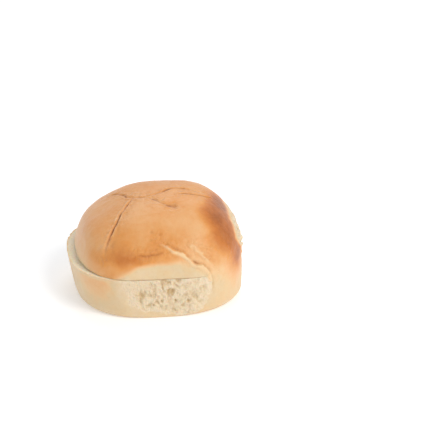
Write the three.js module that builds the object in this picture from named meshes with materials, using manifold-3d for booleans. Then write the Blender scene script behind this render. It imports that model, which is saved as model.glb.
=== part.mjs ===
// A soft white bread roll, baked in a tin against its neighbours, pulled apart and sliced for filling.
// It was baked as one piece and the knife stops short of one side, so it is one solid.
// Units are millimetres. +Z is up, -Y is the front, +X is the side that the knife leaves uncut.
// The origin is the middle of the roll's outline, at the height of its flat base.
import * as THREE from "three";
import { mergeVertices } from "three/addons/utils/BufferGeometryUtils.js";
import Module from "manifold-3d";

// Driving dimensions
const WIDTH = 76; // heel's left rim to right torn face
const DEPTH = 73; // front face to back face
const HEIGHT = 44.5; // base to the top of the dome
const SLICE_HEIGHT = 18; // base to the knife cut

// Outlines seen from above are rounded squares. A higher exponent makes squarer corners.
const BASE_SQUARENESS = 2.4;
const RIM_SQUARENESS = 2.5;
const DOME_SQUARENESS = 3.0; // near the dome's top
const DOME_FULLNESS = 1.9; // the same, for the dome seen from the side

// How the outline changes with height
const BASE_EDGE_RADIUS = 4; // height of the rounded edge around the flat base
const BASE_INSET = 2.5; // how far the flat base lies inside the sides
const HEEL_FLARE_LEFT = 3.2; // how far the heel leans out on the left, from base to rim
const CROWN_INSET_LEFT = 3.6; // how far the crown lies back from the heel's left rim
const DOME_SHIFT = 10; // how far right of the middle the dome's top stands

// Flats, where the neighbouring rolls pressed on the front, back and right
const PRESS_DEPTH = 1.2; // how much of the round side each neighbour pressed in
const PRESS_SOFTNESS = 0.8; // how gently a side runs into its flat

// The knife cut: a wedge, open at the left, that stops short of the right side
const HINGE_WIDTH = 18; // bread left uncut at the right
const SLICE_AT_HINGE = 0.5; // thickness of the cut where it stops
const SLICE_AT_MOUTH = 1.6; // thickness of the cut at the left rim

// Mesh fineness
const STEPS_ROUND = 88;
const STEPS_BASE_EDGE = 5;
const STEPS_WALL = 3;
const STEPS_CROWN = 20;
const WELD = 1e-4; // vertices closer than this are one

const CRUST = { color: "#d99b5e", roughness: 0.55, metalness: 0 };

// A power that keeps the sign, for rounded squares.
const signedPower = (value, power) => Math.sign(value) * Math.abs(value) ** power;

// The quarter wave that rounds the base's edge and the dome, as [across, up] at a share of the way.
function quarterRound(share, squareness = 2) {
  const turn = (share * Math.PI) / 2;
  return [Math.cos(turn) ** (2 / squareness), Math.sin(turn) ** (2 / squareness)];
}

// The side view: x is the share of the outline and y the height, from the base's middle to the dome's top.
function profile() {
  const flatShare = 1 - BASE_INSET / (WIDTH / 2);
  const points = [new THREE.Vector2(0, 0)];
  for (let i = 0; i <= STEPS_BASE_EDGE; i++) {
    const [down, out] = quarterRound(i / STEPS_BASE_EDGE);
    points.push(new THREE.Vector2(flatShare + (1 - flatShare) * out, BASE_EDGE_RADIUS * (1 - down)));
  }
  for (let i = 1; i <= STEPS_WALL; i++) {
    const height = BASE_EDGE_RADIUS + ((SLICE_HEIGHT - BASE_EDGE_RADIUS) * i) / STEPS_WALL;
    points.push(new THREE.Vector2(1, height));
  }
  const crownStart = SLICE_HEIGHT + SLICE_AT_HINGE / 2;
  for (let i = 0; i < STEPS_CROWN; i++) {
    const [across, up] = quarterRound(i / STEPS_CROWN, DOME_FULLNESS);
    points.push(new THREE.Vector2(across, crownStart + (HEIGHT - crownStart) * up));
  }
  points.push(new THREE.Vector2(0, HEIGHT));
  return points;
}

// Presses what would reach past a flat face back to it, with no edge where the flat begins.
function press(value, face) {
  const past = (value - face) / PRESS_SOFTNESS + 1;
  return past > 0 ? face - PRESS_SOFTNESS * Math.exp(-past) : value;
}

// Moves a vertex of the turned profile to its place on the roll.
function place(x, y, z) {
  const share = Math.hypot(x, y);
  const angle = Math.atan2(y, x);
  const inHeel = z <= SLICE_HEIGHT;
  const heelRise = z / SLICE_HEIGHT;
  const domeRise = (z - SLICE_HEIGHT) / (HEIGHT - SLICE_HEIGHT);
  const squareness = inHeel
    ? THREE.MathUtils.lerp(BASE_SQUARENESS, RIM_SQUARENESS, heelRise)
    : THREE.MathUtils.lerp(RIM_SQUARENESS, DOME_SQUARENESS, domeRise);
  const across = share * signedPower(Math.cos(angle), 2 / squareness);
  const along = share * signedPower(Math.sin(angle), 2 / squareness);
  const leftInset = inHeel ? HEEL_FLARE_LEFT * (1 - heelRise) : CROWN_INSET_LEFT;
  const reachX = WIDTH / 2 + (across < 0 ? -leftInset : PRESS_DEPTH);
  const reachY = DEPTH / 2 + PRESS_DEPTH;
  const shift = inHeel ? 0 : DOME_SHIFT * (1 - share);
  return [
    press(across * reachX + shift, WIDTH / 2),
    Math.sign(along) * press(Math.abs(along) * reachY, DEPTH / 2),
    z,
  ];
}

// The whole roll before it is sliced.
function unslicedRoll() {
  const geometry = new THREE.LatheGeometry(profile(), STEPS_ROUND);
  geometry.rotateX(Math.PI / 2);
  const position = geometry.getAttribute("position");
  for (let i = 0; i < position.count; i++) {
    position.setXYZ(i, ...place(position.getX(i), position.getY(i), position.getZ(i)));
  }
  return geometry;
}

// The wedge that the open cut leaves empty, longer and wider than the roll.
function sliceWedge() {
  const hingeX = WIDTH / 2 - HINGE_WIDTH;
  const mouthX = -WIDTH;
  const slope = (SLICE_AT_MOUTH - SLICE_AT_HINGE) / (hingeX + WIDTH / 2);
  const section = new THREE.Shape();
  section.moveTo(mouthX, 0);
  section.lineTo(hingeX, 0);
  section.absarc(hingeX, SLICE_AT_HINGE / 2, SLICE_AT_HINGE / 2, -Math.PI / 2, Math.PI / 2);
  section.lineTo(mouthX, SLICE_AT_HINGE + slope * (hingeX - mouthX));
  section.closePath();
  const wedge = new THREE.ExtrudeGeometry(section, {
    depth: 2 * DEPTH,
    bevelEnabled: false,
    curveSegments: 6,
  });
  return wedge.rotateX(Math.PI / 2).translate(0, DEPTH, SLICE_HEIGHT);
}

// A three.js geometry as a manifold-3d solid.
function toSolid(wasm, geometry) {
  const bare = geometry.clone();
  bare.deleteAttribute("normal");
  bare.deleteAttribute("uv");
  const merged = mergeVertices(bare, WELD);
  const mesh = new wasm.Mesh({
    numProp: 3,
    vertProperties: merged.getAttribute("position").array,
    triVerts: new Uint32Array(merged.index.array),
  });
  return new wasm.Manifold(mesh);
}

// A manifold-3d solid as a three.js geometry.
function toGeometry(solid) {
  const mesh = solid.getMesh();
  const geometry = new THREE.BufferGeometry();
  geometry.setAttribute("position", new THREE.BufferAttribute(mesh.vertProperties, 3));
  geometry.setIndex(new THREE.BufferAttribute(mesh.triVerts, 1));
  geometry.computeVertexNormals();
  return geometry;
}

const wasm = await Module();
wasm.setup();

const slicedRoll = toSolid(wasm, unslicedRoll()).subtract(toSolid(wasm, sliceWedge()));
const roll = new THREE.Mesh(toGeometry(slicedRoll), new THREE.MeshStandardMaterial(CRUST));
roll.name = "bread_roll";

const part = new THREE.Group();
part.add(roll);
export default part;
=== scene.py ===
"""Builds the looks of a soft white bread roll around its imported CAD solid.

The roll was baked in a tin with neighbours against its front, back and right. It was then pulled off
them, which tore open its crumb, and sliced almost through for filling. Shapes are worked out in
millimetres, in the frame of the CAD part, and are turned to metres when a mesh is written.
"""

import logging
import math
import random
from collections.abc import Callable
from dataclasses import dataclass
from enum import Enum

import bpy
import numpy as np
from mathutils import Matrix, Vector, noise
from mathutils.kdtree import KDTree


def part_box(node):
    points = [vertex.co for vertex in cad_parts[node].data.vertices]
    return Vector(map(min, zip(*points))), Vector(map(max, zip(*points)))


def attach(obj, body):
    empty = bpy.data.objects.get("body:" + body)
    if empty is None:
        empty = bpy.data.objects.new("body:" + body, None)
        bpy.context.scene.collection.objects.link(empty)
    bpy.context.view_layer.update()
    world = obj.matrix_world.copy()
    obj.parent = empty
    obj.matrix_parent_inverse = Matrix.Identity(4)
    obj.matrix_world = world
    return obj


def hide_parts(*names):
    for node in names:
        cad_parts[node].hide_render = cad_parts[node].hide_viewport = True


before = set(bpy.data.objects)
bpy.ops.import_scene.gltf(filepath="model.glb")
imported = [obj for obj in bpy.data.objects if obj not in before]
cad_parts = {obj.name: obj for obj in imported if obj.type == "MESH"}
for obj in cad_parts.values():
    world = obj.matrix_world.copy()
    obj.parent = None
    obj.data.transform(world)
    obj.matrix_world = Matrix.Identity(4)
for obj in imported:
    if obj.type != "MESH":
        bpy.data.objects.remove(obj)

LOG = logging.getLogger("bread_roll")
NODE = "bread_roll"  # the CAD node that the roll stands for
BODY = "root"
MM = 0.001  # metres in a millimetre
FAR_OUTSIDE = -30.0  # mm, given to points that are on another side of the roll
Socket = bpy.types.NodeSocket
Array = np.ndarray


# ---------------------------------------------------------------- small tools


def hex_colour(code: str) -> tuple[float, float, float, float]:
    """Turns an sRGB hex colour to the linear colour that a shader socket takes.

    Args:
        code: the colour as "#rrggbb".

    Returns:
        Red, green, blue and alpha, linear, from 0 to 1.
    """
    shares = [int(code[start : start + 2], 16) / 255 for start in (1, 3, 5)]
    linear = [s / 12.92 if s <= 0.04045 else ((s + 0.055) / 1.055) ** 2.4 for s in shares]
    return (*linear, 1.0)


def smooth_step(low: float, high: float, values: Array) -> Array:
    """Gives each value a share that runs smoothly from 0 at low to 1 at high."""
    share = np.clip((values - low) / (high - low), 0, 1)
    return share * share * (3 - 2 * share)


def hump(values: Array, middle: float, width: float) -> Array:
    """Rises smoothly from 0 to 1 around the middle and falls again, within about a width on each side."""
    return np.exp(-(((values - middle) / width) ** 2))


def lumps(points: Array, size: float, octaves: int = 1, seed: float = 0.0) -> Array:
    """Gives smooth noise from about -1 to 1, with lumps of a size in mm, finer octaves and a seed."""
    spots = (points / size + seed).tolist()
    return np.array([noise.fractal(spot, 1.0, 2.0, octaves) for spot in spots])


@dataclass(frozen=True)
class Layer:
    """A layer of smooth noise: the size of its lumps in mm, its strength, and what sets its pattern."""

    size: float
    strength: float
    seed: float
    octaves: int = 2

    def at(self, points: Array) -> Array:
        """Gives the layer's value at points in mm, up to about its strength above or below 0."""
        return self.strength * lumps(points, self.size, self.octaves, self.seed)


def stray(points: Array, size: float, seeds: tuple[float, float, float]) -> Array:
    """Gives each point a smooth random way to stray, up to about 1 long, that changes over a size in mm."""
    return np.column_stack([lumps(points, size, 2, seed) for seed in seeds])


def cell_middles(points: Array, size: float, seed: float) -> Array:
    """Gives each point's distance from the middle of its bubble in the crumb, in bubble sizes."""
    spots = (points / size + seed).tolist()
    return np.array([noise.voronoi(spot)[0][0] for spot in spots])


def smooth_path(corners: Array, steps: int = 6) -> Array:
    """Draws a smooth line through a few points.

    Args:
        corners: the points in order, one row each.
        steps: pieces of line between two points.

    Returns:
        The points of the smooth line.
    """
    ends = np.vstack([2 * corners[0] - corners[1], corners, 2 * corners[-1] - corners[-2]])
    line = []
    for a, b, c, d in zip(ends[:-3], ends[1:-2], ends[2:-1], ends[3:]):
        for t in np.arange(steps) / steps:
            curve = (2 * b) + (c - a) * t + (2 * a - 5 * b + 4 * c - d) * t**2
            line.append((curve + (3 * b - a - 3 * c + d) * t**3) / 2)
    line.append(corners[-1])
    return np.array(line)


def select_only(item: bpy.types.Object) -> None:
    """Deselects everything, then selects this object and makes it the active one.

    Args:
        item: the object.
    """
    bpy.ops.object.select_all(action="DESELECT")
    item.select_set(True)
    bpy.context.view_layer.objects.active = item


def edit_all(change: Callable[..., object], **settings: object) -> None:
    """Runs a mesh operator on the whole of the active object.

    Args:
        change: the operator.
        settings: the operator's settings.
    """
    bpy.ops.object.mode_set(mode="EDIT")
    bpy.ops.mesh.select_all(action="SELECT")
    change(**settings)
    bpy.ops.object.mode_set(mode="OBJECT")


def places(mesh: bpy.types.Mesh) -> Array:
    """Reads a mesh's vertices.

    Args:
        mesh: the mesh.

    Returns:
        The places in mm, one row each.
    """
    flat = np.empty(len(mesh.vertices) * 3, np.float32)
    mesh.vertices.foreach_get("co", flat)
    return flat.reshape(-1, 3).astype(float) / MM


def put_places(mesh: bpy.types.Mesh, points: Array) -> None:
    """Moves a mesh's vertices to places given in mm."""
    mesh.vertices.foreach_set("co", (points * MM).astype(np.float32).ravel())
    mesh.update()


def directions_out(mesh: bpy.types.Mesh) -> Array:
    """Reads which way a surface faces.

    Args:
        mesh: the mesh.

    Returns:
        Unit vectors, one row for each vertex.
    """
    flat = np.empty(len(mesh.vertices) * 3, np.float32)
    mesh.vertex_normals.foreach_get("vector", flat)
    return flat.reshape(-1, 3).astype(float)


def put_values(mesh: bpy.types.Mesh, name: str, values: Array) -> None:
    """Stores one number for each vertex, for a material to read by name."""
    attribute = mesh.attributes.new(name, "FLOAT", "POINT")
    attribute.data.foreach_set("value", values.astype(np.float32))


# ---------------------------------------------------------------- the smooth shape


@dataclass(frozen=True)
class RollForm:
    """The roll's smooth shape, neither torn nor sliced: a rounded square in plan under a full dome.

    Lengths are in mm. A squareness of 2 is a circle, and a higher one has squarer corners.
    """

    width: float
    depth: float
    height: float
    slice_height: float = 18.0
    base_squareness: float = 2.4
    rim_squareness: float = 2.5
    dome_squareness: float = 3.0
    dome_fullness: float = 1.9
    base_edge_radius: float = 4.0
    base_inset: float = 2.5
    heel_flare_left: float = 3.2
    dome_shift: float = 10.0
    press_depth: float = 1.2
    press_softness: float = 0.8
    arc_points: int = 90  # along each quarter turn of the side view

    @classmethod
    def from_frame(cls) -> "RollForm":
        """Takes the roll's width, depth and height from its CAD node."""
        low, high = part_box(NODE)
        return cls(width=-2 * low.x / MM, depth=(high.y - low.y) / MM, height=high.z / MM)

    def profile(self) -> tuple[Array, Array, Array]:
        """Draws the roll's side view, from the middle of the base to the top of the dome.

        Returns:
            The share of the way, the share of the outline and the height, along the line.
        """
        turn = np.linspace(0, np.pi / 2, self.arc_points)
        flat_share = 1 - self.base_inset / (self.width / 2)
        heel_shares = flat_share + (1 - flat_share) * np.sin(turn)
        heel_heights = self.base_edge_radius * (1 - np.cos(turn))
        dome_shares = np.cos(turn) ** (2 / self.dome_fullness)
        crown = self.height - self.slice_height
        dome_heights = self.slice_height + crown * np.sin(turn) ** (2 / self.dome_fullness)
        shares = np.concatenate([[0.0], heel_shares, dome_shares])
        heights = np.concatenate([[0.0], heel_heights, dome_heights])
        steps = np.hypot(np.diff(shares) * self.width / 2, np.diff(heights))
        way = np.concatenate([[0.0], np.cumsum(steps)])
        return way / way[-1], shares, heights

    def press(self, reach: Array, face: float) -> Array:
        """Softly presses back what would reach past a flat face.

        Args:
            reach: how far points are from the middle, in mm.
            face: how far the face is from the middle, in mm.

        Returns:
            How far the points are from the middle once they are pressed.
        """
        past = (reach - face) / self.press_softness + 1
        pressed = face - self.press_softness * np.exp(-np.maximum(past, 0))
        return np.where(past > 0, pressed, reach)

    def place(self, directions: Array) -> Array:
        """Puts points on the roll, each along its own direction from the middle.

        Args:
            directions: unit vectors, one row each.

        Returns:
            The points in mm.
        """
        ways, shares, heights = self.profile()
        way = 1 - np.arccos(np.clip(directions[:, 2], -1, 1)) / np.pi
        share, z = np.interp(way, ways, shares), np.interp(way, ways, heights)
        heel_rise = np.clip(z / self.slice_height, 0, 1)
        dome_rise = np.clip((z - self.slice_height) / (self.height - self.slice_height), 0, 1)
        squareness = self.base_squareness + (self.rim_squareness - self.base_squareness) * heel_rise
        squareness += (self.dome_squareness - self.rim_squareness) * dome_rise
        flat = np.hypot(directions[:, 0], directions[:, 1])
        cosine = np.divide(directions[:, 0], flat, out=np.ones_like(flat), where=flat > 0)
        sine = np.divide(directions[:, 1], flat, out=np.zeros_like(flat), where=flat > 0)
        radius = (np.abs(cosine) ** squareness + np.abs(sine) ** squareness) ** (-1 / squareness)
        across, along = share * radius * cosine, share * radius * sine
        lean = np.where(across < 0, -self.heel_flare_left * (1 - heel_rise), self.press_depth)
        shift = np.where(z > self.slice_height, self.dome_shift * (1 - share), 0)
        reach_y = np.abs(along) * (self.depth / 2 + self.press_depth)
        x = self.press(across * (self.width / 2 + lean) + shift, self.width / 2)
        return np.column_stack([x, np.sign(along) * self.press(reach_y, self.depth / 2), z])


# ---------------------------------------------------------------- marks on the surface


class Side(Enum):
    """A side of the roll: the axis that faces out of it, and that axis's sign there."""

    FRONT = (1, -1)
    BACK = (1, 1)
    LEFT = (0, -1)
    RIGHT = (0, 1)


@dataclass(frozen=True)
class Patch:
    """An area on one side, drawn as a closed outline seen square on.

    Corners are in mm: the place along the side, then the height.
    """

    side: Side
    corners: tuple[tuple[float, float], ...]
    side_starts: float = 12.0  # mm out from the roll's middle

    def depth_inside(self, points: Array) -> Array:
        """Measures how far points are from the outline.

        Args:
            points: places in mm, one row each.

        Returns:
            The distance in mm, above 0 inside the outline.
        """
        axis, sign = self.side.value
        flat = points[:, [1 - axis, 2]]
        starts = np.array(self.corners)
        nearest = np.full(len(points), -FAR_OUTSIDE)
        inside = np.zeros(len(points), bool)
        for start, end in zip(starts, np.roll(starts, -1, axis=0)):
            edge = end - start
            share = np.clip((flat - start) @ edge / (edge @ edge), 0, 1)
            nearest = np.minimum(nearest, np.linalg.norm(flat - start - share[:, None] * edge, axis=1))
            if edge[1] == 0:
                continue
            crossed = (start[1] <= flat[:, 1]) != (end[1] <= flat[:, 1])
            inside ^= crossed & (flat[:, 0] < start[0] + (flat[:, 1] - start[1]) * edge[0] / edge[1])
        signed = np.where(inside, nearest, -nearest)
        return np.where(sign * points[:, axis] > self.side_starts, signed, FAR_OUTSIDE)


def deepest_inside(patches: tuple[Patch, ...], points: Array) -> Array:
    """Gives how far points are inside the nearest of some patches' outlines, in mm."""
    return np.max([patch.depth_inside(points) for patch in patches], axis=0)


@dataclass(frozen=True)
class Crease:
    """A fold in the crust along a path, with a raised lip on one side or both, painted shade in the fold
    and painted highlight on the lips. Lengths are in mm.
    """

    path: tuple[tuple[float, float, float], ...]
    width: float = 0.6
    depth: float = 0.5
    # Lips' heights in mm; each lip also paints a highlight of that strength
    lip: float = 0.25  # on the left, seen from outside and looking along the path
    far_lip: float = 0.0
    # Painted shade in the fold; below 0 it paints a highlight instead
    painted_shade: float = 0.6
    wander: float = 0.5
    fade_in: float = 0.11  # share of the path over which the fold deepens
    fade_out: float = 0.25  # share over which it ends
    unevenness: float = 0.5  # how much its strength varies along the path
    uneven_size: float = 5.0
    wander_size: float = 3.5
    lip_distance: float = 1.7  # in widths, as are the next two
    flank_width: float = 3.2
    reach: float = 6.0
    flank: float = 0.3  # share of the depth that the wide, shallow valley around the fold has
    spare_reach: float = 2.0

    def line(self) -> Array:
        """Gives the points of the path, smoothed."""
        return smooth_path(np.array(self.path, float))

    def distance(self, points: Array) -> Array:
        """Gives each point's distance from the crease's path, in mm."""
        return np.min([np.linalg.norm(points - spot, axis=1) for spot in self.line()], axis=0)

    def beside(self, spots: Array, facing: Array) -> tuple[Array, Array]:
        """Finds where spots are beside the path.

        Args:
            spots: places in mm.
            facing: the direction that the surface faces at each.

        Returns:
            How far each is aside of the path in mm, above 0 on its left, and its share of the way along it.
        """
        line = self.line()
        best = np.full(len(spots), np.inf)
        aside, along = np.zeros(len(spots)), np.zeros(len(spots))
        for index, (start, end) in enumerate(zip(line[:-1], line[1:])):
            edge = end - start
            share = np.clip((spots - start) @ edge / (edge @ edge), 0, 1)
            gap = spots - start - share[:, None] * edge
            distance = np.linalg.norm(gap, axis=1)
            closer = distance < best
            best = np.where(closer, distance, best)
            side = np.einsum("ij,ij->i", gap, np.cross(facing, edge))
            aside = np.where(closer, np.sign(side) * distance, aside)
            along = np.where(closer, (index + share) / (len(line) - 1), along)
        return aside, along

    def press(self, points: Array, out: Array) -> tuple[Array, Array]:
        """Works out how the crease moves the surface.

        Args:
            points: places in mm.
            out: the direction that the surface faces at each.

        Returns:
            The move outwards in mm, and the painted light: painted shade above 0 in the fold, painted
            highlight below 0 on its lips.
        """
        line = self.line()
        margin = self.reach * self.width + self.spare_reach
        near = np.all((points > line.min(0) - margin) & (points < line.max(0) + margin), axis=1)
        spots = points[near] + self.wander * stray(points[near], self.wander_size, (11.0, 23.0, 37.0))
        aside, along = self.beside(spots, out[near])
        fade = np.clip(along / self.fade_in, 0, 1) * np.clip((1 - along) / self.fade_out, 0, 1)
        strength = lumps(spots, self.uneven_size, seed=5.0)
        fade *= 1 - self.unevenness / 2 + self.unevenness * strength
        fold = hump(aside, 0, self.width)
        valley = fold + self.flank * hump(aside, 0, self.flank_width * self.width)
        left = hump(aside, self.lip_distance * self.width, self.width)
        right = hump(aside, -self.lip_distance * self.width, self.width)
        move, tone = np.zeros(len(points)), np.zeros(len(points))
        move[near] = fade * (self.lip * left + self.far_lip * right - self.depth * valley)
        # Painted shade in the fold, less the painted highlight on the lips
        shade = self.painted_shade * fold - self.lip * left - self.far_lip * right
        tone[near] = np.clip(fade, 0, 1) * shade
        return move, tone


@dataclass(frozen=True)
class Blush:
    """A soft cloud around a point, in mm, that adds its amount to the surface it touches."""

    centre: tuple[float, float, float]
    spread: tuple[float, float, float]
    amount: float
    crispness: int = 1  # 1 fades like mist, and 4 has a clear edge

    def at(self, points: Array) -> Array:
        """Gives the cloud's share at each point, times its amount."""
        away = (points - np.array(self.centre)) / np.array(self.spread)
        return self.amount * np.exp(-(np.einsum("ij,ij->i", away, away) ** self.crispness))


def puckers() -> tuple[Crease, ...]:
    """Lays short upright wrinkles side by side on the back, where the dome swelled over its neighbour.

    Returns:
        The wrinkles, as creases.
    """
    count = 11
    back = 35.6  # mm from the roll's middle
    low, high = 24.5, 31.0  # mm up
    aside = 1.5  # mm that each may stand or lean aside
    bend = 0.02  # how soon they bend forward with the dome, in 1/mm
    chance = random.Random(count)
    made = []
    for middle in np.linspace(-20, 24, count):
        x = middle + chance.uniform(-aside, aside)
        foot, head = low + chance.uniform(-1.0, 1.5), high + chance.uniform(-2.0, 2.0)
        lean, inset = chance.uniform(-aside, aside), bend * (head - low) ** 2
        path = (
            (x, back, foot),
            (x + lean / 2, back, (foot + head) / 2),
            (x + lean, back - inset, head),
        )
        depth = chance.uniform(0.12, 0.3)
        # Each pucker has faint painted shade in its fold and painted highlight on its lips
        made.append(Crease(path, width=0.8, depth=depth, lip=0.08, far_lip=0.05, painted_shade=0.12))
    return tuple(made)


# Lumps in the risen dough all over, and more of them on the heel
SWELLS = (Layer(19.0, 0.35, 1.0), Layer(5.0, 0.10, 6.0))
HEEL_SWELLS = (Layer(11.0, 0.22, 41.0), Layer(3.2, 0.07, 43.0))

# Crumb torn open where the neighbours were pulled off
TORN_FRONT = (
    (-18, 19), (-16.5, 13), (-13.5, 8.5), (-9.5, 4.8), (-3, 2.4), (7, 1.8), (10.5, 0.8),
    (13, 0.2), (15.5, 0.8), (18, 2.2), (22, 5), (22.6, 11), (21.4, 17), (19.5, 19.3),
)
TORN_BACK = ((-21, 19), (-21, 12), (-17, 6), (-9, 3), (4, 2), (15, 2.8), (21, 6.5), (23, 12), (21, 19))
TORN_RIGHT = (
    (-10, 4), (-11.5, 12), (-14, 20), (-16, 26), (-11, 30), (-2, 31.5), (9, 31.5),
    (19, 28.5), (25, 21.5), (26.5, 12), (24, 4), (10, 2.2), (-8, 2.2),
)
RIM_NICK = ((12.5, 18.6), (14.5, 16.4), (18, 15.4), (21.5, 16.2), (23.5, 18.6))
TORN_PATCHES = (
    Patch(Side.FRONT, TORN_FRONT),
    Patch(Side.BACK, TORN_BACK),
    Patch(Side.RIGHT, TORN_RIGHT),
    Patch(Side.LEFT, RIM_NICK),
)

# Skin that its neighbour covered, so that it stayed pale
PALE_FRONT = (
    (-22, 16.5), (-17.5, 18.6), (-13.5, 21.2), (-8.5, 23.4), (-1, 25.1),
    (9, 25.1), (15, 23), (20, 18), (21, 4), (-14, 4),
)
PALE_BACK = (
    (-25, 16), (-19, 21), (-11, 24.8), (0, 26.2), (12, 25.4), (20, 22), (25, 16), (22, 3), (-20, 3),
)
PALE_RIGHT = ((-14, 2), (-14, 18), (-17, 27), (-9, 33), (8, 34.6), (22, 30), (29, 19), (29, 2))
PALE_PATCHES = (Patch(Side.FRONT, PALE_FRONT), Patch(Side.BACK, PALE_BACK), Patch(Side.RIGHT, PALE_RIGHT))

# Creases in the crust; each paints shade into its fold and a highlight onto its lips
CREASES = (
    # down the dome's left shoulder
    Crease(
        (
            (-7.5, 0.5, 41.8), (-11.5, -7.5, 40.5), (-15, -13, 39), (-17, -18, 37),
            (-19.5, -22, 34), (-22, -26.5, 29.5), (-23, -29, 26),
        ),
        depth=0.75, lip=0.3, far_lip=0.3, painted_shade=0.95, wander=0.35,
    ),
    # from the same fold back over the left shoulder
    Crease(((-8, -3.5, 41.8), (-12, 3, 40.7), (-15, 8, 39.2), (-19, 12, 37)), far_lip=0.15, painted_shade=0.8),
    # across the top
    Crease(
        (
            (-10.5, -1.5, 41), (-4, -4.2, 42.7), (2, -3.4, 43.6), (7, -0.3, 44.3),
            (13, 0.6, 44.5), (19, 0.2, 43.6), (25, 1.8, 41),
        ),
        depth=0.7, lip=0.2, far_lip=0.3, painted_shade=1.0,
    ),
    Crease(
        ((11, -5, 44), (17, -4, 43.5), (22, -3, 42), (27, -1, 39)),
        width=0.65, depth=0.6, lip=0.15, far_lip=0.25, painted_shade=1.0,
    ),
    # a faint fold that ends in the dimple
    Crease(
        ((-2, -6, 43.4), (2.5, -10.5, 43), (6, -13, 42.5), (8, -13.5, 42.5)),
        width=0.7, depth=0.35, lip=0.1, far_lip=0.1, painted_shade=0.75,
    ),
    # down to the right end of the torn front, with a broad raised lip on its left that carries a painted
    # highlight
    Crease(
        (
            (0, -29.5, 33.7), (4.6, -32, 31.9), (11.3, -34.5, 28.6), (15.3, -35.2, 25),
            (18.9, -35.3, 23.2), (22, -34.8, 20), (23.2, -34, 14), (22.8, -33.8, 9),
        ),
        width=0.8, depth=0.8, lip=0.2, far_lip=0.95, painted_shade=0.8, fade_in=0.28, unevenness=0.15,
    ),
    # the fold beside it
    Crease(
        ((13, -31, 33), (16.7, -32.3, 30.9), (21.2, -32.8, 26.2), (24.3, -33, 22.5), (26.5, -32.6, 15)),
        width=0.9, depth=0.4, lip=0.1, far_lip=0.4, painted_shade=0.25,
    ),
    # a faint wrinkle along the browned front
    Crease(
        ((-10, -33, 28.8), (-5, -34, 28.3), (0, -34, 29), (4, -33, 30.5)),
        width=0.7, depth=0.4, lip=0.15, far_lip=0.15,
    ),
    # small wrinkles right of the long fold
    Crease(((14, -34, 30), (18, -33.5, 28.5), (21, -33, 26)), depth=0.35, lip=0.2, painted_shade=0.15),
    Crease(((17, -33, 31.5), (21, -31.5, 30), (24, -31, 27.5)), depth=0.3, lip=0.2, painted_shade=0.15),
)
PUCKERS = puckers()

# The curled edge of skin and crumb that stands at the right end of the torn front, with a painted highlight
# along it
PEEL = Crease(
    ((19.8, -35.3, 18.2), (21.2, -35, 15), (21.4, -34.6, 10.5), (20.4, -34.4, 6)),
    width=1.2, depth=-0.6, lip=-0.3, far_lip=-0.1, painted_shade=-0.9,
)

# Dimples, each pressed in and darkened with painted shade
DIMPLES = (
    Blush((8.3, -13.6, 42.4), (1.9, 1.8, 2.0), 0.6),
    Blush((-2.4, -26.6, 36.1), (0.9, 0.9, 0.9), 0.4),
    Blush((0.9, -27.7, 35.3), (0.8, 0.8, 0.8), 0.4),
    Blush((-19.5, -27.0, 30.0), (2.0, 2.0, 2.6), 0.4),
)

# Where the skin shrank into fine wrinkles as it cooled
CRINKLED = (
    Blush((20, -33, 27), (8, 8, 6), 0.9),
    Blush((-2, -35, 28), (14, 6, 4), 0.5),
    Blush((30, -26, 24), (6, 8, 8), 0.6),
    Blush((4, 35, 27), (22, 8, 7), 0.8),
    Blush((-30, 22, 26), (8, 12, 8), 0.7),
    Blush((-37, -2, 8), (8, 26, 8), 0.3),
)

# Where a neighbour held the crust back, in mm inwards, and where it swelled over one, in mm below 0
PRESSES = (
    Blush((0, -36, 22), (17, 9, 3.8), 1.15),
    Blush((-4, -35, 29.5), (17, 8, 3.8), -0.6),
    Blush((-30, -3, 33), (9, 24, 8), -1.5),
    Blush((4, 14, 43), (28, 13, 8), -1.1),
    Blush((2, 36, 22.5), (19, 9, 3.8), 0.8),
    Blush((4, 35, 30), (19, 8, 3.8), -0.45),
)

# Where the skin tore thinly, so that crumb and skin run into each other
FEATHERED = (Blush((-17, -36, 10), (7, 12, 14), 13.0), Blush((23, -34, 9), (3, 8, 6), 5.0))

# Where tatters of crumb stand out furthest
TATTERS = (
    Blush((13.5, -35, 2.6), (3.2, 4, 1.6), 1.3),
    Blush((37, -14, 25), (4, 5, 6), 1.2),
    Blush((-36.5, 18, 17.4), (3, 4, 0.8), 1.0),
)

# Where the torn crumb is nearly smooth
CALM = (Blush((-8, -36, 15.5), (6, 8, 2.6), 0.6), Blush((15, -36, 13), (2.5, 8, 4), 0.6))

# How much the oven browned the crust, on top of what its height gives; on the right edge and shoulder
# partly painted shadow, right of the middle partly painted highlight
BLUSHES = (
    Blush((-10, -34, 27.5), (14, 7, 4.5), 0.35),
    Blush((-25, -28, 23.5), (8, 9, 6), 0.27),
    Blush((-34, 2, 24), (7, 26, 7), 0.14),
    Blush((28, -29, 22), (8, 9, 7), 0.14),
    # The next two are partly browning and partly painted shadow: along the right edge, and over the right
    # shoulder with a clear edge
    Blush((35, -22, 18), (7, 9, 6.5), 0.5),
    Blush((35, -11, 33), (16.5, 23.5, 15.5), 0.36, 4),
    Blush((-20, -33, 19.5), (6, 6, 2.5), 0.2),
    Blush((-14, -34, 23), (7, 6, 4), 0.16),
    Blush((-30, 0, 32), (14, 30, 14), -0.07),
    Blush((24, -33.5, 22.5), (3, 4, 4), 0.15),
    Blush((-26, -28, 14.5), (10.5, 10, 5), 0.23),
    Blush((6, -28, 33), (7, 7, 5), 0.08),
    # Paler right of the middle: partly less browned crust, partly painted highlight
    Blush((15, -26, 36), (9, 9, 9), -0.14),
    Blush((-2, -14, 42), (12, 10, 6), -0.05),
    Blush((34, 17, 34), (10, 10, 8), 0.16),
    Blush((5, 34, 29), (24, 6, 5), 0.30),
)


# ---------------------------------------------------------------- finishes

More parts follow.
